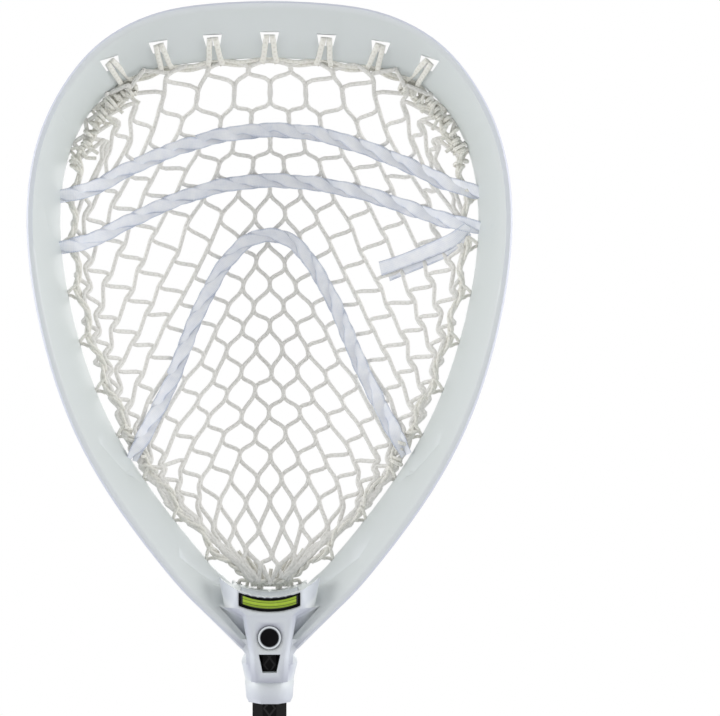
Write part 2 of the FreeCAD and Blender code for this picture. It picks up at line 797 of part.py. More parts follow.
def lace(label, route):
    """A flat lace that lies on the front of the mesh and follows its curve.

    The route's points are pairs of a distance across and a height above the collar."""
    points = [Vector(across, 0, collar_z + up) for across, up in route]
    curve = Part.BSplineCurve()
    curve.interpolate(points)
    length = curve.length()
    steps = max(6, int(length / LACE_STEP))
    sections = []
    for step in range(steps + 1):
        parameter = curve.parameterAtDistance(length * step / steps)
        middle = curve.value(parameter)
        tangent = curve.tangent(parameter)[0]
        across = Vector(-tangent.z, 0, tangent.x) * (size.lace_width / 2)
        ends = [middle + across, middle - across]
        faces = [pocket_y(end.x, end.z) - size.lace_gap for end in ends]
        corners = [Vector(ends[0].x, faces[0], ends[0].z), Vector(ends[1].x, faces[1], ends[1].z),
                   Vector(ends[1].x, faces[1] - size.lace_thickness, ends[1].z),
                   Vector(ends[0].x, faces[0] - size.lace_thickness, ends[0].z)]
        sections.append(Part.makePolygon(corners + corners[:1]))
    feature(label, Part.makeLoft(sections, True, False))


def laces():
    """Two shooting laces that arch across the pocket, one in the shape of a V, and a loose end."""
    lace("upper_shooting_lace", [(-126, 340), (-68, 371), (0, 386), (68, 372), (126, 341)])
    lace("lower_shooting_lace", [(-127, 302), (-68, 336), (0, 352), (68, 341), (126, 314)])
    lace("v_shooting_lace", [(-82, 176), (-68, 208), (-50, 252), (-29, 295), (0, 312),
                             (29, 295), (50, 252), (68, 208), (82, 176)])
    lace("lace_tail", [(116, 300), (98, 292), (79, 283)])


def corner_knots():
    """The knots at the two upper corners, in front of the side strings, as one group."""
    knots = []
    for side in (-1, 1):
        sections = []
        for place in KNOT_PLACES:
            inward = along(place, "inset") + size.string_band / 2
            back = along(place, "wall_depth") - size.rail_height / 2 - size.mesh_thickness / 2
            middle = in_wall(place, side, inward, back - size.soft_gap - size.knot_radius)
            normal = rim_point(place, side)[1]
            tangent = Vector(normal.z, 0, -normal.x)
            sections.append(Part.Wire([Part.makeCircle(size.knot_radius, middle, tangent)]))
        knots.append(Part.makeLoft(sections, True, False))
    feature("corner_knots", Part.makeCompound(knots))


# ---------------------------------------------------------------- the whole stick

shaft_tube()
end_cap()
head_frame()
head_screw()
ball_stop()
throat_inlays()
mesh_pocket()
top_string()
bottom_string()
sidewall_string("left_sidewall_string", -1)
sidewall_string("right_sidewall_string", 1)
laces()
corner_knots()
doc.recompute()

for item in doc.Objects:
    if "Invalid" in item.State or "Error" in item.State:
        raise SystemExit(f"{item.Name} failed: {item.State}")
for piece in PIECES:
    if piece.Shape.isNull() or not piece.Shape.isValid():
        raise SystemExit(f"{piece.Label} has no valid shape")

os.makedirs("parts", exist_ok=True)
for piece in PIECES:
    piece.Shape.exportStep(f"parts/{piece.Label}.step")
    solids = piece.Shape.Solids
    print(f"{piece.Label}: {len(solids)} solid(s), {piece.Shape.Volume / 1000:.2f} cm3")
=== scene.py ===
import math

import bmesh
import bpy
import numpy as np
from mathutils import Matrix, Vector


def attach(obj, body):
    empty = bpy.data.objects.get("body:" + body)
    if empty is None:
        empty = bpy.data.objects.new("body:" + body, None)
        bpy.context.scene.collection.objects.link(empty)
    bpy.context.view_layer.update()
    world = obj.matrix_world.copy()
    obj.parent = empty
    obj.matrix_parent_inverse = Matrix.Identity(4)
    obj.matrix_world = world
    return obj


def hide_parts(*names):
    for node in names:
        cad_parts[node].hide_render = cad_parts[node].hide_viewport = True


# A goalkeeper's lacrosse stick, standing on its butt: +Z runs up the shaft, -Y is the catching side
# and the pocket bulges to +Y.  Sizes are millimetres unless said otherwise, and heights are above the
# collar's lower end.

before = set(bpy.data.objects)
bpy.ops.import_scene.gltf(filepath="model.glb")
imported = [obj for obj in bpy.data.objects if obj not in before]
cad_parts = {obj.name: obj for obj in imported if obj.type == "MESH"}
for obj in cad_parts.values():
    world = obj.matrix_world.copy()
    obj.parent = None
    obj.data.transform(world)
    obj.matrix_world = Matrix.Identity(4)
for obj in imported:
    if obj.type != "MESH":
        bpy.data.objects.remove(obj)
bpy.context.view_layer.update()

MM = 0.001
STICK = "stick"
# The shaft stands on the cap's floor and reaches SOCKET_DEPTH up into the collar.
SHAFT_LENGTH, CAP_FLOOR, SOCKET_DEPTH = 1016.0, 4.0, 62.0
COLLAR = CAP_FLOOR + SHAFT_LENGTH - SOCKET_DEPTH
HEAD_WIDTH, HEAD_LENGTH = 320.0, 460.3

# Side wall: its sizes at the scoop, the side and the throat, and the places where they start to change
# and settle.
INSET = (33.0, 17.5, 23.0)
WALL_DEPTH = (33.0, 47.0, 33.0)
RIM_FORWARD = (10.0, 5.0, 16.5)
WALL_CHANGES = (0.08, 0.32, 0.93)
RIM_WIDTH, WEB_START, RAIL_HEIGHT = 5.5, 2.0, 7.0
# Points of the head's outline, as shares of its half width and its length.
OUTLINE_SHARES = ((0, 1), (0.3125, 0.9933), (0.5875, 0.9668), (0.8138, 0.8988), (0.9613, 0.7962),
                  (1, 0.6937), (0.9344, 0.5227), (0.6944, 0.3176), (0.3625, 0.1638), (0.1156, 0.0782))
# String holes: the scoop's, with their number each side of the middle one and their spacing; the side
# walls', with their number and range; and how far across the shelf's four are.
SCOOP_HOLES, HOLE_PITCH, HOLE_FROM_RAIL = 3, 40.0, 11.6
SIDE_HOLES, FIRST_HOLE, LAST_HOLE = 11, 0.27, 0.9
SHELF_HOLES = (-20.4, -7.1, 7.1, 20.4)

# Pocket: where it starts and ends round the outline, how deep it hangs, the powers that set where it is
# deepest and how full it is, and how far in from the rail's inner face its bulge and the net's edge start.
POCKET_TOP, POCKET_BOTTOM, POCKET_DEPTH = 0.16, 0.93, 65.0
POCKET_SKEW, POCKET_FULLNESS = 0.8, 0.85
STRING_BAND, NET_INSET = 12.0, 3.5

# Finishes: the heights they are centred on, and the sizes of their patterns.
HEAD_MIDDLE, BADGE_HEIGHT, EMBLEM_HEIGHT, SCREW_HEIGHT = 250.0, 61.0, 44.0, 18.0
BADGE_SAG, BADGE_HALF = 3.9, 20.0
CROSS_RISE, CROSS_WIDTH = 9.5, 7.2
WARP_RIBS, WEFT_PITCH = 26.0, 1.1


# ---------------------------------------------------------------- the head's outline


def smooth_curve(points, start, end):
    """A cubic spline through points, with unit end directions; returns point(t) for t from 0 to 1."""
    points = np.array(points, float)
    knots = np.concatenate([[0], np.cumsum(np.linalg.norm(np.diff(points, axis=0), axis=1))])
    gaps = np.diff(knots)
    count = len(points)
    matrix = np.zeros((count, count))
    right = np.zeros((count, 2))
    matrix[0, 0] = matrix[-1, -1] = 1
    right[0], right[-1] = start, end
    slopes = np.diff(points, axis=0) / gaps[:, None]
    for i in range(1, count - 1):
        matrix[i, i - 1] = gaps[i]
        matrix[i, i] = 2 * (gaps[i - 1] + gaps[i])
        matrix[i, i + 1] = gaps[i - 1]
        right[i] = 3 * (gaps[i] * slopes[i - 1] + gaps[i - 1] * slopes[i])
    tangents = np.linalg.solve(matrix, right)

    def point(share):
        """The spline's points at shares of its length."""
        along = np.asarray(share, float) * knots[-1]
        i = np.clip(np.searchsorted(knots, along, side="right") - 1, 0, count - 2)
        gap = gaps[i][..., None]
        u = ((along - knots[i]) / gaps[i])[..., None]
        return (points[i] * (1 + 2 * u) * (1 - u) ** 2 + points[i + 1] * u * u * (3 - 2 * u)
                + gap * tangents[i] * u * (1 - u) ** 2 - gap * tangents[i + 1] * u * u * (1 - u))

    return point


def outline():
    """Points, outward normals and length of the right half of the rim, at even steps of arc."""
    shares = [(HEAD_WIDTH / 2 * across, HEAD_LENGTH * up) for across, up in OUTLINE_SHARES]
    curve = smooth_curve(shares, (1, 0), (-math.sqrt(0.5), -math.sqrt(0.5)))
    fine = curve(np.linspace(0, 1, 4001))
    arc = np.concatenate([[0], np.cumsum(np.linalg.norm(np.diff(fine, axis=0), axis=1))])
    even = np.linspace(0, arc[-1], 1001)
    points = np.column_stack([np.interp(even, arc, fine[:, 0]), np.interp(even, arc, fine[:, 1])])
    tangents = np.gradient(points, even, axis=0)
    tangents /= np.linalg.norm(tangents, axis=1)[:, None]
    return points, np.column_stack([-tangents[:, 1], tangents[:, 0]]), arc[-1]


RIM_POINTS, RIM_NORMALS, RIM_LENGTH = outline()
PLACES = np.linspace(0, 1, len(RIM_POINTS))


def ease(place, start, end):
    """0 up to start, 1 from end on, and a smooth step between them."""
    share = np.clip((np.asarray(place, float) - start) / (end - start), 0, 1)
    return share * share * (3 - 2 * share)


def along(place, sizes):
    """A wall size at a place round the outline: 0 is the scoop's middle, 1 is the throat."""
    scoop, side, throat = sizes
    start, middle, end = WALL_CHANGES
    return (scoop + (side - scoop) * ease(place, start, middle)
            + (throat - side) * ease(place, middle, end))


def at_rim(values, place):
    """The values of a rim table at a place round the outline."""
    return np.stack([np.interp(place, PLACES, values[:, axis]) for axis in (0, 1)], axis=-1)


def in_wall(place, side, inward, back):
    """A point (x, y, height) of the wall, inwards from the outline and behind the rim."""
    place = np.asarray(place, float)
    flat = at_rim(RIM_POINTS, place) - at_rim(RIM_NORMALS, place) * np.asarray(inward, float)[..., None]
    deep = np.broadcast_to(back - along(place, RIM_FORWARD), flat[..., 0].shape)
    return np.stack([side * flat[..., 0], deep, flat[..., 1]], axis=-1)


def string_back(place):
    """How far behind the rim the string holes run."""
    return along(place, WALL_DEPTH) - RAIL_HEIGHT / 2


def web_front(place, inward):
    """How far behind the rim the slanted inner face of the web lies."""
    inset = along(place, INSET)
    slope = (along(place, WALL_DEPTH) - RAIL_HEIGHT - WEB_START) / (inset - RIM_WIDTH)
    return WEB_START + (inward - RIM_WIDTH) * slope


EDGE = in_wall(PLACES, 1, along(PLACES, INSET) + STRING_BAND, string_back(PLACES))
NET_EDGE = in_wall(PLACES, 1, along(PLACES, INSET) + NET_INSET, string_back(PLACES))
POCKET_SHARE = np.clip((PLACES - POCKET_TOP) / (POCKET_BOTTOM - POCKET_TOP), 0, 1)
DROP = POCKET_DEPTH * np.clip(np.sin(math.pi * POCKET_SHARE ** POCKET_SKEW), 0, 1) ** POCKET_FULLNESS


def pocket_y(across, height):
    """Depth of the mesh at a point of the pocket."""
    half = np.maximum(np.interp(height, EDGE[::-1, 2], EDGE[::-1, 0]), 1.0)
    drop = np.interp(height, EDGE[::-1, 2], DROP[::-1])
    edge = np.interp(height, EDGE[::-1, 2], EDGE[::-1, 1])
    return edge + drop * np.clip(1 - (across / half) ** 2, 0, 1)


# ---------------------------------------------------------------- materials


def colour(code):
    """A colour written as sRGB hex, turned linear for a shader."""
    parts = [int(code[i:i + 2], 16) / 255 for i in (1, 3, 5)]
    return [c / 12.92 if c <= 0.04045 else ((c + 0.055) / 1.055) ** 2.4 for c in parts] + [1.0]


def node(tree, kind, inputs=None, **settings):
    """Adds a node: settings are its own properties; inputs are values, or sockets to link from."""
    made = tree.nodes.new(kind)
    for name, value in settings.items():
        setattr(made, name, value)
    for socket, value in (inputs or {}).items():
        if isinstance(value, bpy.types.NodeSocket):
            tree.links.new(value, made.inputs[socket])
        else:
            made.inputs[socket].default_value = value
    return made


def material(name, **shader):
    """A new material; returns it with its tree and its Principled shader, whose sockets are set."""
    made = bpy.data.materials.new(name)
    made.use_nodes = True
    tree = made.node_tree
    principled = tree.nodes["Principled BSDF"]
    for socket, value in shader.items():
        principled.inputs[socket.replace("_", " ")].default_value = value
    return made, tree, principled


def ramp(tree, factor, stops):
    """A colour ramp between positions and sRGB hex colours."""
    made = node(tree, "ShaderNodeValToRGB", {"Fac": factor})
    elements = made.color_ramp.elements
    while len(elements) < len(stops):
        elements.new(0.5)
    for element, (position, code) in zip(elements, stops):
        element.position = position
        element.color = colour(code)
    return made.outputs["Color"]


def calc(tree, operation, *values):
    """The result of a math node; each value is a number or a socket."""
    return node(tree, "ShaderNodeMath", dict(enumerate(values)), operation=operation).outputs[0]


def vector_calc(tree, operation, *values):
    """The result of a vector math node: a number for a dot product or a length, else a vector."""
    made = node(tree, "ShaderNodeVectorMath", dict(enumerate(values)), operation=operation)
    return made.outputs["Value" if operation in ("DOT_PRODUCT", "LENGTH") else "Vector"]


def remap(tree, value, target, source=(0.0, 1.0), **settings):
    """A value moved from the source range to the target range, and held inside it."""
    sockets = {"Value": value, "From Min": source[0], "From Max": source[1],
               "To Min": target[0], "To Max": target[1]}
    return node(tree, "ShaderNodeMapRange", sockets, **settings).outputs[0]


def surface(tree, which="Object"):
    """Where a point of the surface lies in the object's own frame, in metres; or with "Normal", its
    normal there."""
    return node(tree, "ShaderNodeTexCoord").outputs[which]


def axes_of(tree, vector):
    """A vector's X, Y and Z sockets."""
    return node(tree, "ShaderNodeSeparateXYZ", {"Vector": vector}).outputs


def noise(tree, place, scale, detail=2.0):
    """Soft noise between 0 and 1; scale is per metre."""
    sockets = {"Vector": place, "Scale": scale, "Detail": detail}
    return node(tree, "ShaderNodeTexNoise", sockets).outputs["Fac"]


def cells(tree, scale):
    """Distance from the middles of small irregular cells; scale is per metre."""
    sockets = {"Vector": surface(tree), "Scale": scale}
    return node(tree, "ShaderNodeTexVoronoi", sockets).outputs["Distance"]


def dress(tree, principled, base, rough=None):
    """Links a base colour to a shader, and a roughness if there is one."""
    tree.links.new(base, principled.inputs["Base Color"])
    if rough is not None:
        tree.links.new(rough, principled.inputs["Roughness"])


def bump(tree, principled, height, strength, distance):
    """Relief from a height between 0 and 1, as deep as distance in millimetres."""
    sockets = {"Height": height, "Strength": strength, "Distance": distance * MM}
    made = node(tree, "ShaderNodeBump", sockets)
    tree.links.new(made.outputs["Normal"], principled.inputs["Normal"])


def moulded_nylon():
    """Injection-moulded white nylon: cool white, semi-gloss, with a faint cloudy flow and orange peel;
    painted shade and tint follow which way a face looks.
    """
    made, tree, shader = material("moulded_white_nylon", IOR=1.53)
    place = surface(tree)
    cloud = noise(tree, place, 9.0, detail=3.0)
    # painted shade and tint: faces that look outwards from the head's middle are painted darker and bluer;
    # those that look inwards are painted lighter and greener
    away = vector_calc(tree, "SUBTRACT", place, (0, 0, (COLLAR + HEAD_MIDDLE) * MM))
    radial = vector_calc(tree, "NORMALIZE", away)
    outward = vector_calc(tree, "DOT_PRODUCT", radial, surface(tree, "Normal"))
    cloud_and_painted_facing_shade = remap(tree, calc(tree, "MULTIPLY_ADD", cloud, 0.3, outward), (0.0, 1.0), source=(-0.9, 1.2))
    whites_with_painted_facing_shade = [(0.0, "#D6DCDB"), (0.4, "#DBE0E3"), (0.6, "#D3D8E0"), (0.8, "#C8CCD9")]
    dress(tree, shader, ramp(tree, cloud_and_painted_facing_shade, whites_with_painted_facing_shade), remap(tree, cloud, (0.34, 0.46)))
    bump(tree, shader, noise(tree, place, 700.0), 0.12, 0.2)
    return made


def anodised_alloy():
    """Extruded aluminium tube, satin black anodised, with a glossy chain of crosses on its flats."""
    made, tree, shader = material("anodised_black_aluminium", Specular_IOR_Level=0.07)
    place = surface(tree)
    axes = axes_of(tree, place)
    # two zigzag lines, which fade 0.6 to 0.9 mm from their middle, meet and part up the flat
    wave = calc(tree, "PINGPONG", axes["Z"], CROSS_RISE / 2 * MM)
    reach = calc(tree, "MULTIPLY", wave, CROSS_WIDTH / CROSS_RISE)
    gap = calc(tree, "SUBTRACT", calc(tree, "ABSOLUTE", axes["X"]), reach)
    line = remap(tree, calc(tree, "ABSOLUTE", gap), (1.0, 0.0), source=(0.6 * MM, 0.9 * MM),
                 interpolation_type="SMOOTHSTEP")
    facing = calc(tree, "ABSOLUTE", axes_of(tree, surface(tree, "Normal"))["Y"])
    print_on = calc(tree, "MULTIPLY", line, calc(tree, "GREATER_THAN", facing, 0.9))
    satin = remap(tree, noise(tree, place, 1500.0), (0.36, 0.5))
    rough = node(tree, "ShaderNodeMix", {0: print_on, 2: satin, 3: 0.16}).outputs[0]
    dress(tree, shader, ramp(tree, print_on, [(0.0, "#080708"), (1.0, "#2A292A")]), rough)
    bump(tree, shader, print_on, 0.5, 0.2)
    return made


def moulded_rubber():
    """Compression-moulded black rubber: matt, slightly grey, with a fine pebble."""
    made, tree, shader = material("moulded_black_rubber", IOR=1.5)
    pebble = cells(tree, 900.0)
    base = ramp(tree, pebble, [(0.0, "#1A1A1B"), (0.8, "#262627")])
    dress(tree, shader, base, remap(tree, pebble, (0.62, 0.8)))
    bump(tree, shader, pebble, 0.3, 0.2)
    return made


def zinc_steel():
    """Zinc-plated steel: bright, turned on its axis so faint rings run round the head."""
    made, tree, shader = material("zinc_plated_steel", Metallic=1.0)
    centred = {"Vector": surface(tree), "Location": (0, 0, -(COLLAR + SCREW_HEIGHT) * MM)}
    shift = node(tree, "ShaderNodeMapping", centred).outputs[0]
    rings = node(tree, "ShaderNodeTexWave", {"Vector": shift, "Scale": 900.0, "Distortion": 0.4},
                 wave_type="RINGS", rings_direction="Y").outputs["Fac"]
    base = ramp(tree, rings, [(0.0, "#A9ABAD"), (1.0, "#C4C6C8")])
    dress(tree, shader, base, remap(tree, rings, (0.25, 0.36)))
    return made


def closed_cell_foam():
    """Closed-cell foam with a moulded skin: pale grey, soft, with shallow dimples."""
    made, tree, shader = material("closed_cell_foam", IOR=1.45, Sheen_Weight=0.15)
    dimples = cells(tree, 800.0)
    base = ramp(tree, dimples, [(0.0, "#B7BEC4"), (0.7, "#CBD1D6")])
    dress(tree, shader, base, remap(tree, dimples, (0.7, 0.88)))
    bump(tree, shader, dimples, 0.35, 0.3)
    return made


def gloss_lacquer(name, dark, light):
    """Satin lacquer on a thin moulded inlay, with a slight ripple."""
    made, tree, shader = material(name, IOR=1.5, Specular_IOR_Level=0.04)
    ripple = noise(tree, surface(tree), 160.0)
    base = ramp(tree, ripple, [(0.35, dark), (0.65, light)])
    dress(tree, shader, base, remap(tree, ripple, (0.3, 0.42)))
    bump(tree, shader, ripple, 0.1, 0.2)
    return made


def badge_enamel():
    """Yellow-green enamel of the badge: plain bands that follow its sag, and black ends."""
    made, tree, shader = material("yellow_green_enamel", IOR=1.5, Specular_IOR_Level=0.3)
    place = surface(tree)
    axes = axes_of(tree, place)
    square = calc(tree, "MULTIPLY", axes["X"], axes["X"])
    level = calc(tree, "MULTIPLY_ADD", square, -BADGE_SAG / BADGE_HALF ** 2 / MM, axes["Z"])
    up = calc(tree, "SUBTRACT", level, (COLLAR + BADGE_HEIGHT) * MM)
    # the bands run from 1.5 to 7 mm above the badge's lower line, between black ends
    band = remap(tree, up, (0.0, 1.0), source=(1.5 * MM, 7.0 * MM))
    field = ramp(tree, band, [(0.06, "#0B0C0A"), (0.12, "#86A022"), (0.27, "#93AE28"), (0.33, "#2C3512"),
                              (0.39, "#9DBB2C"), (0.68, "#AECB3A"), (0.74, "#2C3512"), (0.8, "#9DBB2C")])
    ends = remap(tree, calc(tree, "ABSOLUTE", axes["X"]), (0.0, 1.0), source=(17.2 * MM, 17.6 * MM))
    rim = node(tree, "ShaderNodeMix", {"Factor": ends, 6: field, 7: colour("#0B0C0A")}, data_type="RGBA")
    dress(tree, shader, rim.outputs[2], remap(tree, noise(tree, place, 400.0), (0.2, 0.32)))
    return made


def silver_foil():
    """Bright hot-stamped foil: a soft mirror with fine scuffs, and painted shade at its inner and outer
    edges.
    """
    made, tree, shader = material("silver_foil", Metallic=1.0)
    place = surface(tree)
    scuff = noise(tree, place, 500.0, detail=4.0)
    from_middle = vector_calc(tree, "SUBTRACT", place, (0, 0, (COLLAR + EMBLEM_HEIGHT) * MM))
    flat = vector_calc(tree, "MULTIPLY", from_middle, (1, 0, 1))
    radius = vector_calc(tree, "LENGTH", flat)
    share = remap(tree, radius, (0.0, 1.0), source=(5.0 * MM, 9.0 * MM))
    # painted shade: dark grey at the ring's inner and outer edges, silver between them
    silver_with_painted_edge_shade = [(0.3, "#55585C"), (0.36, "#A3A7AB"), (0.56, "#B4B8BC"), (0.64, "#55585C")]
    dress(tree, shader, ramp(tree, share, silver_with_painted_edge_shade), remap(tree, scuff, (0.16, 0.32)))
    return made


def braided_cord(name, groove_shade, crown, pitch):
    """Braided cord: crossing plaits in relief, painted shade that makes the grooves a little darker, soft
    sheen; pitch in metres.
    """
    made, tree, shader = material(name, IOR=1.5, Sheen_Weight=0.25, Sheen_Roughness=0.5, Roughness=0.75)
    axes = axes_of(tree, node(tree, "ShaderNodeAttribute", attribute_name="weave").outputs["Vector"])
    phase = calc(tree, "MULTIPLY", axes["Z"], 2 * math.pi / pitch)
    first = calc(tree, "MULTIPLY", calc(tree, "SINE", phase), axes["X"])
    second = calc(tree, "MULTIPLY", calc(tree, "COSINE", phase), axes["Y"])
    plait = calc(tree, "MAXIMUM", calc(tree, "ADD", first, second), calc(tree, "SUBTRACT", first, second))
    height = remap(tree, plait, (0.0, 1.0), source=(-0.4, 1.0))
    fibre = noise(tree, surface(tree), 350.0, detail=3.0)
    # painted shade: the colour follows the plaits' relief and is darker in the grooves, with a random fibre
    # tone
    tone_and_painted_relief_shade = calc(tree, "MULTIPLY_ADD", fibre, 0.35, height)
    dress(tree, shader, ramp(tree, tone_and_painted_relief_shade, [(0.1, groove_shade), (0.6, crown)]))
    bump(tree, shader, height, 0.15, 0.2)
    return made


def woven_lace():
    """Flat woven polyester lace: cool white, ribs along and across it, painted shade at its folded edges
    and in its rib grooves, a silky sheen.
    """
    made, tree, shader = material("woven_polyester_lace", IOR=1.5, Sheen_Weight=0.35,
                                  Sheen_Roughness=0.4, Roughness=0.62)
    axes = axes_of(tree, node(tree, "ShaderNodeAttribute", attribute_name="weave").outputs["Vector"])
    warp = calc(tree, "SINE", calc(tree, "MULTIPLY", axes["Y"], WARP_RIBS))
    weft = calc(tree, "SINE", calc(tree, "MULTIPLY", axes["Z"], 2 * math.pi / (WEFT_PITCH * MM)))
    height = remap(tree, calc(tree, "ADD", warp, weft), (0.0, 1.0), source=(-2.0, 2.0))
    crease = noise(tree, surface(tree), 120.0, detail=3.0)
    tone_and_painted_relief_shade = calc(tree, "MULTIPLY_ADD", height, 0.35, crease)
    # painted shade: the lace turns bluish grey towards its folded edges and in the troughs of its ribs
    painted_fold_shade = remap(tree, calc(tree, "ABSOLUTE", axes["Y"]), (0.0, 0.55), source=(0.6, 1.0))
    shade = calc(tree, "SUBTRACT", tone_and_painted_relief_shade, painted_fold_shade)
    dress(tree, shader, ramp(tree, shade, [(0.1, "#BFC7D9"), (0.42, "#E6EAF4"), (0.9, "#F6F8FC")]))
    bump(tree, shader, tone_and_painted_relief_shade, 0.35, 0.4)
    return made


NYLON = moulded_nylon()
# each cord's first colour is the painted shade in its grooves, and its second the colour of its crowns
MESH_CORD = braided_cord("knitted_polyester_mesh", "#E0DFDA", "#EBEAE6", 4.0 * MM)
STRING_CORD = braided_cord("braided_nylon_string", "#E3E1D8", "#EFEEE7", 3.6 * MM)
LACE = woven_lace()
BLACK_LACQUER = gloss_lacquer("black_lacquer", "#060608", "#0E0E10")


# ---------------------------------------------------------------- strands: cords and laces along curves


def strand_tree():
    """Geometry nodes that turn splines into flattened cords.  Their weave attribute holds the cosine and
    sine of Plaits times the angle round the cord, and the length along it."""
    tree = bpy.data.node_groups.new("strand", "GeometryNodeTree")
    sockets = (("Route", "INPUT", "Geometry", None), ("Width", "INPUT", "Float", 2 * MM),
               ("Thickness", "INPUT", "Float", 2 * MM), ("Sides", "INPUT", "Int", 8),
               ("Steps", "INPUT", "Int", 3), ("Plaits", "INPUT", "Float", 2.0),
               ("Finish", "INPUT", "Material", None), ("Cord", "OUTPUT", "Geometry", None))
    for name, way, kind, value in sockets:
        socket = tree.interface.new_socket(name, in_out=way, socket_type="NodeSocket" + kind)
        if value is not None:
            socket.default_value = value
    given = node(tree, "NodeGroupInput").outputs
    smooth = node(tree, "GeometryNodeCurveSplineType", {"Curve": given["Route"]},
                  spline_type="CATMULL_ROM")
    stepped = node(tree, "GeometryNodeSetSplineResolution",
                   {"Geometry": smooth.outputs[0], "Resolution": given["Steps"]})
    faced = node(tree, "GeometryNodeSetCurveNormal", {"Curve": stepped.outputs[0], "Normal": (0, -1, 0)},
                 mode="FREE")
    run = node(tree, "GeometryNodeCaptureAttribute", {"Geometry": faced.outputs[0]})
    run.capture_items.new("FLOAT", "length")
    tree.links.new(node(tree, "GeometryNodeSplineParameter").outputs["Length"], run.inputs["length"])

    ring = node(tree, "GeometryNodeCurvePrimitiveCircle", {"Resolution": given["Sides"], "Radius": 0.5},
                mode="RADIUS")
    factor = node(tree, "GeometryNodeSplineParameter").outputs["Factor"]
    angle = calc(tree, "MULTIPLY", calc(tree, "MULTIPLY", factor, given["Plaits"]), 2 * math.pi)
    around = node(tree, "GeometryNodeCaptureAttribute", {"Geometry": ring.outputs["Curve"]})
    around.capture_items.new("FLOAT", "cosine")
    around.capture_items.new("FLOAT", "sine")
    for name, operation in (("cosine", "COSINE"), ("sine", "SINE")):
        tree.links.new(calc(tree, operation, angle), around.inputs[name])
    flat = node(tree, "ShaderNodeCombineXYZ",
                {"X": given["Thickness"], "Y": given["Width"], "Z": 1.0}).outputs[0]
    section = node(tree, "GeometryNodeTransform", {"Geometry": around.outputs[0], "Scale": flat})

    swept = node(tree, "GeometryNodeCurveToMesh",
                 {"Curve": run.outputs["Geometry"], "Profile Curve": section.outputs[0],
                  "Scale": node(tree, "GeometryNodeInputRadius").outputs[0], "Fill Caps": True})
    weave = node(tree, "ShaderNodeCombineXYZ",
                 {"X": around.outputs["cosine"], "Y": around.outputs["sine"], "Z": run.outputs["length"]})
    stored = node(tree, "GeometryNodeStoreNamedAttribute",
                  {"Geometry": swept.outputs[0], "Name": "weave", "Value": weave.outputs[0]},
                  data_type="FLOAT_VECTOR", domain="POINT")
    real = node(tree, "GeometryNodeRealizeInstances", {"Geometry": stored.outputs[0]})
    shaded = node(tree, "GeometryNodeSetShadeSmooth", {"Geometry": real.outputs[0]})
    finished = node(tree, "GeometryNodeSetMaterial",
                    {"Geometry": shaded.outputs[0], "Material": given["Finish"]})
    node(tree, "NodeGroupOutput", {"Cord": finished.outputs[0]})
    return tree


STRAND = strand_tree()


def strands(name, routes, width, thickness, finish, sides=8, steps=3, plaits=2.0):
    """One plain mesh of cords along routes.  A route is an array of (x, y, height) in millimetres,
    or a tuple of it with the tilt at each point and the share of the full width there."""
    data = bpy.data.curves.new(name, "CURVE")
    data.dimensions = "3D"
    for route in routes:
        points, tilt, share = route if isinstance(route, tuple) else (route, None, None)
        count = len(points)
        spline = data.splines.new("POLY")
        spline.points.add(count - 1)
        placed = np.column_stack([np.asarray(points) + (0, 0, COLLAR), np.full(count, 1 / MM)]) * MM
        spline.points.foreach_set("co", placed.ravel())
        tilt = np.zeros(count) if tilt is None else np.asarray(tilt, float)
        share = np.ones(count) if share is None else np.asarray(share, float)
        spline.points.foreach_set("tilt", tilt)
        spline.points.foreach_set("radius", share)
    maker = bpy.data.objects.new(name + "_route", data)
    bpy.context.scene.collection.objects.link(maker)
    modifier = maker.modifiers.new("strand", "NODES")
    modifier.node_group = STRAND
    sizes = {"Width": width * MM, "Thickness": thickness * MM, "Sides": sides, "Steps": steps,
             "Plaits": plaits, "Finish": finish}
    for item in STRAND.interface.items_tree:
        if item.in_out == "INPUT" and item.name in sizes:
            modifier[item.identifier] = sizes[item.name]
    bpy.context.view_layer.update()
    evaluated = maker.evaluated_get(bpy.context.evaluated_depsgraph_get())
    solid = bpy.data.meshes.new_from_object(evaluated)
    bpy.data.objects.remove(maker)
    solid.name = name
    piece = bpy.data.objects.new(name, solid)
    bpy.context.scene.collection.objects.link(piece)
    return piece


def settle(piece, slot, *nodes, body=STICK):
    """Ties a finished piece to its body and hides the CAD nodes it stands for; slot is not used."""
    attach(piece, body)
    if nodes:
        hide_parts(*nodes)
    return piece


# ---------------------------------------------------------------- the net

NET_COLUMNS = 13
CORD_WIDTH, CORD_THICKNESS = 2.9, 1.9
# Each table holds (row, value) pairs, with row 0 at the scoop, and a value between two rows is read
# from the line between them: a row's height at the middle of the net, its cells' width, its drop per
# square millimetre across, the length of its doubled legs, and how far it may reach sideways.
NET_LEVELS = ((0, 427), (1, 419.8), (2, 407), (5, 363), (9, 293), (14, 217.5), (19, 143.7), (22, 95),
              (24, 78))
CELL_WIDTHS = ((0, 28), (1, 28), (2, 25.5), (4, 25.3), (6, 22), (10, 19.4), (13, 18.3), (17, 20.3),
               (20, 16.5), (22, 14.3), (24, 8))
ROW_SAGS = ((0, 0.0013), (1, 0.0015), (3, 0.002), (4, 0.0024), (12, 0.0027), (17, 0.0026),
            (19, 0.001), (21, -0.002), (22, -0.007), (23, -0.013), (24, -0.02))
LEG_LENGTHS = ((0, 1), (1, 5), (2, 10), (5, 10), (7, 8), (17, 7.5), (20, 6), (24, 3))
REACHES = ((19, 170), (21, 55), (22, 42), (23, 30), (24, 12))
NET_ROWS = NET_LEVELS[-1][0] + 1
# How unevenly the net is knotted, the most a leg leans in radians, and how far each of its two cords
# lies from its middle, sideways and in depth.
NET_UNEVEN, GREATEST_LEAN = 0.8, 0.5
LEG_OFFSET, LEG_STAGGER = 0.33 * CORD_WIDTH, 0.3
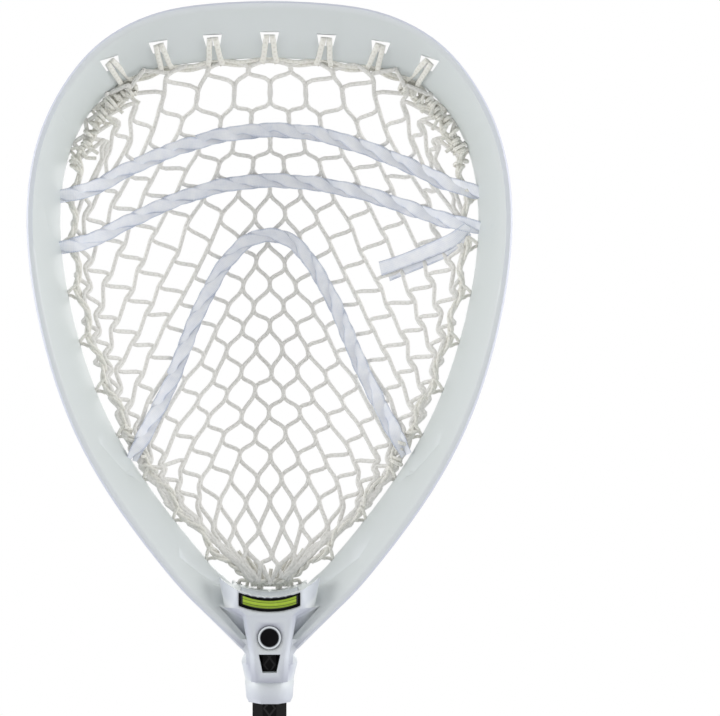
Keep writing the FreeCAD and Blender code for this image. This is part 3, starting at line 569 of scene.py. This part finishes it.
# The upper rows follow the scoop's edge: the rows over which they leave it, how far round it they reach,
# and its length up to each place.
FREE_ROWS, SCOOP_REACH = (1, 5), 170.0
EDGE_RUN = np.concatenate([[0], np.cumsum(np.linalg.norm(np.diff(NET_EDGE[:, ::2], axis=0), axis=1))])


def down_net(row, pairs):
    """The value of a row from a table of (row, value) pairs."""
    return float(np.interp(row, *zip(*pairs)))


def scoop_spot(row, column):
    """Where a node of the upper rows would lie along the scoop's inner edge, and in from it."""
    wanted = down_net(row, CELL_WIDTHS) * abs(column)
    run = wanted / (1 + (wanted / SCOOP_REACH) ** 6) ** (1 / 6)
    spot, after = (np.array([float(np.interp(place, EDGE_RUN, NET_EDGE[:, axis])) for axis in (0, 2)])
                   for place in (run, run + 2))
    ahead = (after - spot) / np.linalg.norm(after - spot)
    spot += np.array([ahead[1], -ahead[0]]) * (NET_EDGE[0, 2] - down_net(row, NET_LEVELS))
    return spot * (-1 if column < 0 else 1, 1)


def net_node(row, column, jitter):
    """The middle of a knitted leg and the leg itself, as (x, height) pairs."""
    sag = down_net(row, ROW_SAGS)
    # below the upper rows, cells widen by 2 % with each column out from the middle
    wanted = down_net(row, CELL_WIDTHS) * column * (1 + 0.02 * abs(column) * float(ease(row, 4, 7)))
    # cells narrow towards the walls: only the last ones at a high power, more of them at a low one
    power = 8 - 4.5 * float(ease(row, 11, 22))
    across = wanted
    # where the row meets the wall depends on its sag there, so the place is found step by step
    for _ in range(12):
        height = down_net(row, NET_LEVELS) - sag * across ** 2
        wall = float(np.interp(height, NET_EDGE[::-1, 2], NET_EDGE[::-1, 0]))
        half = min(wall, down_net(row, REACHES))
        reach = wanted / half
        across = 0.5 * across + 0.5 * half * reach / (1 + abs(reach) ** power) ** (1 / power)
    lean = GREATEST_LEAN * math.tanh(2 * sag * across / GREATEST_LEAN)
    # legs shorten towards the walls, to a quarter at least
    leg = down_net(row, LEG_LENGTHS) * min(1.0, max(0.25, 2.1 - 1.25 * abs(reach)))
    free = float(ease(row, *FREE_ROWS))
    spot = free * np.array([across, height]) + (1 - free) * scoop_spot(row, column)
    return spot + jitter, leg * np.array([math.sin(lean), -math.cos(lean)])


def net_routes():
    """Zigzag cords side by side: neighbours touch in a doubled leg at every second row."""
    random = np.random.default_rng(11)
    nodes = {}
    for row in range(NET_ROWS):
        half = NET_COLUMNS // 2 + 0.5 * (row % 2)
        for column in np.arange(-half, half + 0.5):
            nodes[row, column] = net_node(row, column, random.normal(0, NET_UNEVEN, 2))
    routes = []
    for index in range(2 * NET_COLUMNS):
        low = -NET_COLUMNS / 2 + index / 2
        points = []
        for row in range(NET_ROWS):
            column = low if (row, low) in nodes else low + 0.5
            side = 1 if column == low else -1
            spot, leg = nodes[row, column]
            beside = np.array([-leg[1], leg[0]]) / np.linalg.norm(leg) * side * LEG_OFFSET
            for step in (-0.5, 0.5):
                x, h = spot + leg * step + beside
                points.append((x, float(pocket_y(x, h)) + LEG_STAGGER * side, h))
        routes.append(np.array(points))
    return routes


net = strands("net", net_routes(), CORD_WIDTH, CORD_THICKNESS, MESH_CORD, steps=4)
settle(net, "mesh_nylon", "mesh_pocket")


# ---------------------------------------------------------------- strings

POINTS_A_TURN = 8
# Each string's width and thickness.
SCOOP_CORD, SIDE_CORD, THROAT_CORD, KNOT_CORD = (3.7, 2.1), (2.3, 1.9), (2.5, 2.1), (2.5, 2.2)
# The scoop string's waves: how far inside the rail they run, how far they sway, and how far each of the
# two lies from their middle.
SCOOP_INWARD, SCOOP_SWAY, SCOOP_PART = 2.4, 1.2, 1.0
# A side string: how far inside the rail it runs, how far it sways, and its twist's radius and pitch.
SIDE_INWARD, SIDE_SWAY, SIDE_TWIST, SIDE_PITCH = 8.5, 2.2, 1.25, 34.0
# Places of the knots round the outline: the upper corners, and where the V lace ends.
CORNER_KNOTS = np.linspace(0.205, 0.35, 14)
V_KNOTS = (0.715, 0.735, 0.755)


def twisted(centre, radius, pitch, count, phase=0.0):
    """Routes of cords wound round a centre line given as an array of points."""
    gaps = np.linalg.norm(np.diff(centre, axis=0), axis=1)
    run = np.concatenate([[0], np.cumsum(gaps)])
    fine = np.arange(0, run[-1], pitch / POINTS_A_TURN)
    line = np.column_stack([np.interp(fine, run, centre[:, axis]) for axis in range(3)])
    ahead = np.gradient(line, axis=0)
    ahead /= np.linalg.norm(ahead, axis=1)[:, None]
    side = np.cross(ahead, (0, 1, 0))
    side /= np.linalg.norm(side, axis=1)[:, None]
    other = np.cross(side, ahead)
    routes = []
    for index in range(count):
        angle = 2 * math.pi * (fine / pitch + index / count) + phase
        routes.append(line + radius * (np.cos(angle)[:, None] * side + np.sin(angle)[:, None] * other))
    return routes


def round_scoop(place, inward, back):
    """A point of the scoop's wall; a place below 0 lies left of the middle."""
    return in_wall(abs(place), 1 if place >= 0 else -1, inward, back)


def scoop_string():
    """The string that laces the scoop: a doubled loop through each hole, and waves between them."""
    routes = []
    for index in range(-SCOOP_HOLES, SCOOP_HOLES + 1):
        centre = index * HOLE_PITCH / RIM_LENGTH
        place = abs(centre)
        inset, depth = float(along(place, INSET)), float(along(place, WALL_DEPTH))
        hole = inset - HOLE_FROM_RAIL
        face = float(web_front(place, hole))
        middle = depth - RAIL_HEIGHT / 2
        slope = float(web_front(place, hole + 4))
        loop = [(inset + 3.6, middle), (inset + 1.6, middle - 3), (inset - 1, depth - RAIL_HEIGHT - 2.2),
                (hole + 4, slope - 2.1), (hole - 0.5, face - 1.0), (hole - 2, face + 5),
                (hole + 1.5, depth + 0.5), (inset - 3, depth + 2.0), (inset + 1.8, depth + 0.5),
                (inset + 3.6, middle)]
        for lean in (-1, 1):
            spread = np.array([5.6, 4.9, 4.0, 2.9, 2.1, 2.1, 2.6, 3.6, 4.6, 5.6]) * lean / RIM_LENGTH
            routes.append(np.array([round_scoop(centre + shift, inward, back)
                                    for (inward, back), shift in zip(loop, spread)]))
    reach = np.linspace(-0.27, 0.27, 109)
    wave = np.cos(2 * math.pi * np.abs(reach) * RIM_LENGTH / HOLE_PITCH)
    for phase in (-1, 1):
        inward = along(np.abs(reach), INSET) + SCOOP_INWARD - SCOOP_SWAY * wave + phase * SCOOP_PART
        back = string_back(np.abs(reach)) + phase * SCOOP_PART
        line = np.array([round_scoop(place, deep, behind)
                         for place, deep, behind in zip(reach, inward, back)])
        routes.append((line, np.zeros(len(line)), np.full(len(line), 0.7)))
    return routes


top_string = strands("scoop_string", scoop_string(), *SCOOP_CORD, STRING_CORD)
settle(top_string, "string_nylon", "top_string")


def side_string(side):
    """The sidewall string: three cords wound together, tied to the rail through every hole."""
    places = np.linspace(0.2, 0.925, 120)
    holes = (places - FIRST_HOLE) / (LAST_HOLE - FIRST_HOLE) * (SIDE_HOLES - 1)
    sway = SIDE_SWAY * np.cos(2 * math.pi * holes)
    centre = in_wall(places, side, along(places, INSET) + SIDE_INWARD - sway, string_back(places))
    routes = twisted(centre, SIDE_TWIST, SIDE_PITCH, 3, phase=side)
    for place in np.linspace(FIRST_HOLE, LAST_HOLE, SIDE_HOLES):
        inset, depth = float(along(place, INSET)), float(along(place, WALL_DEPTH))
        middle = depth - RAIL_HEIGHT / 2
        loop = [(inset + 7.5, middle - 2.4), (inset + 3.5, middle - 1.4), (inset - 1, middle),
                (inset - 8.5, middle), (inset - 9.5, middle + 3.5), (inset - 5, depth + 2.0),
                (inset + 1.5, depth + 1.6), (inset + 5, middle + 2.4), (inset + 8.5, middle + 1.4),
                (inset + 7.5, middle - 2.4)]
        shifts = (-0.009, -0.005, 0, 0, 0, 0, 0.003, 0.008, 0.004, -0.009)
        routes.append(np.array([in_wall(place + shift, side, inward, back)
                                for (inward, back), shift in zip(loop, shifts)]))
    return routes


for side, label in ((-1, "left"), (1, "right")):
    cords = strands(f"{label}_side_string", side_string(side), *SIDE_CORD, STRING_CORD)
    settle(cords, "string_nylon", f"{label}_sidewall_string")


def throat_string():
    """The string that closes the pocket at the throat: loops through the shelf's holes, short cords
    that gather the mesh, and two cords twisted together along its foot."""
    routes = []
    for x in SHELF_HOLES:
        routes.append(np.array([(x * 0.5, 15, 77), (x * 0.8, 18, 77), (x, 20.5, 75.5), (x, 20.5, 61),
                                (x * 0.9, 24.5, 60), (x * 0.8, 27.5, 66), (x * 0.7, 24, 76),
                                (x * 0.5, 17, 77)]))
    for x in np.linspace(-12, 13, 11):
        spread = abs(x)
        routes.append(np.array([(x * 2.2, 20 + spread / 3, 84 + spread * 1.3),
                                (x * 1.3, 18.5, 81 + spread * 0.3), (x, 16.5, 77.5), (x * 0.95, 18, 73)]))
    gather = np.array([(-30, 14, 94), (-20, 14.5, 83), (-10, 14.5, 77.5), (0, 14.5, 76.5),
                       (10, 14.5, 77.5), (20, 14.5, 83), (30, 14, 94)])
    routes += twisted(gather, radius=1.1, pitch=14.0, count=2)
    return routes


bottom_string = strands("throat_string", throat_string(), *THROAT_CORD, STRING_CORD, steps=4)
settle(bottom_string, "string_nylon", "bottom_string")


def coil(place, side, inward, turns, radius, length, random):
    """A knot's wraps: an uneven helix round the side string, with one end let loose."""
    steps = np.linspace(0, 1, turns * POINTS_A_TURN + 1)
    shift = (steps - 0.5) * length / RIM_LENGTH
    uneven = 1 + 0.35 * np.sin(2 * math.pi * steps * random.uniform(0.6, 1.7) + random.uniform(0, 6))
    phase = 2 * math.pi * turns * steps + random.uniform(0, 6)
    deep = along(place, INSET) + inward + radius * uneven * np.cos(phase)
    back = string_back(place) - 1 + radius * uneven * np.sin(phase)
    body = in_wall(place + shift, side, deep, back)
    tail = body[-1] + np.array([-side * random.uniform(1, 8), -1.5, random.uniform(-8, 1)])
    return np.vstack([body, tail])


def knots():
    """Knots in the side strings: a cluster in each upper corner, and a few where the V lace ends."""
    random = np.random.default_rng(5)
    routes = []
    for side in (-1, 1):
        for place in (*CORNER_KNOTS, *V_KNOTS):
            routes.append(coil(place, side, inward=random.uniform(4.5, 9), turns=int(random.integers(1, 3)),
                               radius=random.uniform(2.0, 3.8), length=random.uniform(5, 12),
                               random=random))
    return routes


knot_cords = strands("knots", knots(), *KNOT_CORD, STRING_CORD)
settle(knot_cords, "string_nylon", "corner_knots")


# ---------------------------------------------------------------- laces

LACE_WIDTH, LACE_THICKNESS, TAIL_WIDTH = 9.2, 1.2, 10.0
# A pair of laces: the length of a full turn, how far each lies from the middle across and in depth, how
# far in front of the mesh the middle lies, and the most they tilt, in radians.
LACE_TWIST, LACE_SWAY, LACE_SWAP, LACE_AHEAD, LACE_TILT = 46.0, 2.1, 1.7, 3.1, 0.6
# The share of a lace's width where the two swap front and back, and at its ends, and the length that
# the ends taper over.
LACE_CROSSING, LACE_END, LACE_TAPER = 0.68, 0.6, 14.0
# Routes as (x, height) points.
UPPER_ROUTE = ((-147, 334), (-122, 340), (-98, 356), (-68, 371), (-34, 382), (0, 386),
               (34, 383), (68, 372), (98, 358), (122, 344), (147, 336))
LOWER_ROUTE = ((-147, 299), (-122, 305), (-98, 320), (-68, 336), (-34, 348), (0, 352),
               (34, 349), (68, 341), (98, 329), (122, 319), (146, 313))
V_ROUTE = ((-92, 158), (-82, 178), (-68, 208), (-51, 256), (-34, 290), (-16, 310), (0, 314),
           (16, 310), (31, 292), (46, 264), (64, 218), (78, 188), (92, 160))
TAIL = ((134, 315), (124, 306), (108, 299), (92, 293), (77, 288))


def lace_routes(route):
    """Two flat laces wound round each other along a route, swapping front and back each half turn."""
    route = np.array(route, float)
    run = np.concatenate([[0], np.cumsum(np.linalg.norm(np.diff(route, axis=0), axis=1))])
    fine = np.arange(0, run[-1] + 1, 4.0)
    line = np.column_stack([np.interp(fine, run, route[:, axis]) for axis in (0, 1)])
    # three passes round off the route's corners
    for _ in range(3):
        line[1:-1] = (line[:-2] + 2 * line[1:-1] + line[2:]) / 4
    ahead = np.gradient(line, axis=0)
    ahead /= np.linalg.norm(ahead, axis=1)[:, None]
    beside = np.column_stack([-ahead[:, 1], ahead[:, 0]])
    routes = []
    for index in (0, 1):
        angle = 2 * math.pi * fine / LACE_TWIST + math.pi * index
        flat = line + beside * LACE_SWAY * np.cos(angle)[:, None]
        y = pocket_y(flat[:, 0], flat[:, 1]) - LACE_AHEAD - LACE_SWAP * np.sin(angle)
        tilt = LACE_TILT * np.cos(angle)
        share = LACE_CROSSING + (1 - LACE_CROSSING) * np.abs(np.sin(angle))
        share *= LACE_END + (1 - LACE_END) * ease(np.minimum(fine, run[-1] - fine), 0, LACE_TAPER)
        routes.append((np.column_stack([flat[:, 0], y, flat[:, 1]]), tilt, share))
    return routes


for name, route in (("upper", UPPER_ROUTE), ("lower", LOWER_ROUTE), ("v", V_ROUTE)):
    ribbon = strands(f"{name}_lace", lace_routes(route), LACE_WIDTH, LACE_THICKNESS, LACE, sides=12,
                     plaits=1.0)
    settle(ribbon, "lace_white", f"{name}_shooting_lace")


def tail_routes():
    """Two loose lace ends, one over the other, from the right wall in towards the middle."""
    start = TAIL[0][0]
    routes = []
    for front, lower, reach in ((5.2, 0.0, 1.0), (3.4, 3.5, 0.9)):
        line = np.array([(start + (x - start) * reach, float(pocket_y(x, h)) - front, h - lower)
                         for x, h in TAIL])
        routes.append((line, np.linspace(-0.35, 0.25, len(TAIL)), (0.7, 1, 1, 0.95, 1.05)))
    return routes


loose_end = strands("lace_end", tail_routes(), TAIL_WIDTH, LACE_THICKNESS, LACE, sides=12, steps=6,
                    plaits=1.0)
settle(loose_end, "lace_white", "lace_tail")


# ---------------------------------------------------------------- moulded and metal parts


def smoothed(name, node_name, finish, slot, body, sharp=28.0):
    """A copy of a CAD node with its doubles merged and its curved faces shaded smooth."""
    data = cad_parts[node_name].data.copy()
    work = bmesh.new()
    work.from_mesh(data)
    bmesh.ops.remove_doubles(work, verts=work.verts, dist=0.002 * MM)
    work.to_mesh(data)
    work.free()
    data.materials.clear()
    data.materials.append(finish)
    for polygon in data.polygons:
        polygon.use_smooth = True
    data.set_sharp_from_angle(angle=math.radians(sharp))
    piece = bpy.data.objects.new(name, data)
    bpy.context.scene.collection.objects.link(piece)
    return settle(piece, slot, node_name, body=body)


smoothed("head", "head_frame", NYLON, "nylon_white", STICK)
smoothed("butt_cap", "end_cap", moulded_rubber(), "rubber_black", "cap")
smoothed("neck_screw", "head_screw", zinc_steel(), "steel_screw", "screw")
stop = smoothed("throat_foam", "ball_stop", closed_cell_foam(), "foam_grey", STICK)


def finish_node(node_name, made):
    """Gives a CAD node its finish."""
    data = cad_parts[node_name].data
    data.materials.clear()
    data.materials.append(made)


finish_node("shaft_tube", anodised_alloy())
finish_node("throat_badge_frame", BLACK_LACQUER)
finish_node("throat_badge_field", badge_enamel())
finish_node("emblem_ring", silver_foil())
finish_node("emblem_disc", BLACK_LACQUER)


# ---------------------------------------------------------------- floor, light and camera


def pointing(aim):
    """The rotation that points a lamp's or camera's -Z along aim."""
    return Vector(aim).to_track_quat("-Z", "Y").to_euler()


def studio_floor():
    """A plain pale floor, 2.4 m square, that the butt stands on."""
    made, _, _ = material("studio_floor", Roughness=0.9, Base_Color=colour("#F4F4F4"))
    bpy.ops.mesh.primitive_plane_add(size=2.4)
    floor = bpy.context.object
    floor.name = "studio_floor"
    floor.data.materials.append(made)


def studio_light():
    """An even world, white where it is seen and dimmer as a light, and soft lamps all round."""
    world = bpy.data.worlds.new("studio")
    bpy.context.scene.world = world
    world.use_nodes = True
    tree = world.node_tree
    rays = node(tree, "ShaderNodeLightPath").outputs
    seen = calc(tree, "MAXIMUM", rays["Is Camera Ray"], rays["Is Glossy Ray"])
    seen = calc(tree, "MAXIMUM", seen, rays["Is Transmission Ray"])
    back = tree.nodes["Background"]
    back.inputs["Color"].default_value = (1, 1, 1, 1)
    tree.links.new(remap(tree, seen, (0.4, 1.0)), back.inputs["Strength"])
    head = COLLAR + HEAD_LENGTH / 2
    scoop = COLLAR + HEAD_LENGTH - 20
    # each lamp: its place, its disk's diameter in metres, watts, spread in degrees and the height it faces
    for name, place, size, power, spread, target in (
            ("left", (-1500, -250, head + 150), 1.2, 16.0, 180, head),
            ("right", (1500, -250, head + 150), 1.2, 16.5, 180, head),
            ("top", (0, -500, head + 1400), 1.2, 5.0, 180, head),
            ("low", (0, -1300, head - 800), 1.2, 2.6, 180, head),
            ("scoop", (0, -1300, head - 400), 0.5, 0.035, 20, scoop),
            ("rear", (400, 1500, head + 500), 1.4, 6.0, 180, head)):
        data = bpy.data.lights.new(name, "AREA")
        data.shape = "DISK"
        data.size = size
        data.energy = power
        data.spread = math.radians(spread)
        lamp = bpy.data.objects.new(name, data)
        lamp.location = np.array(place) * MM
        aim = np.array([0, 0, target]) * MM - np.array(lamp.location)
        lamp.rotation_euler = pointing(aim)
        bpy.context.scene.collection.objects.link(lamp)


def studio_camera():
    """Level with the head's middle, square to it, and shifted so the head stands left of the middle."""
    distance, view_width, height, rim_front, shift = 1300.0, 472.0, 226.0, 10.0, 0.1257
    data = bpy.data.cameras.new("camera")
    data.sensor_fit = "HORIZONTAL"
    data.angle = 2 * math.atan(view_width / 2 / distance)
    data.shift_x = shift
    camera = bpy.data.objects.new("camera", data)
    camera.location = (0, -(distance + rim_front) * MM, (COLLAR + height) * MM)
    camera.rotation_euler = (math.pi / 2, 0, 0)
    bpy.context.scene.collection.objects.link(camera)
    bpy.context.scene.camera = camera


studio_floor()
studio_light()
studio_camera()
bpy.context.scene.view_settings.view_transform = "Standard"
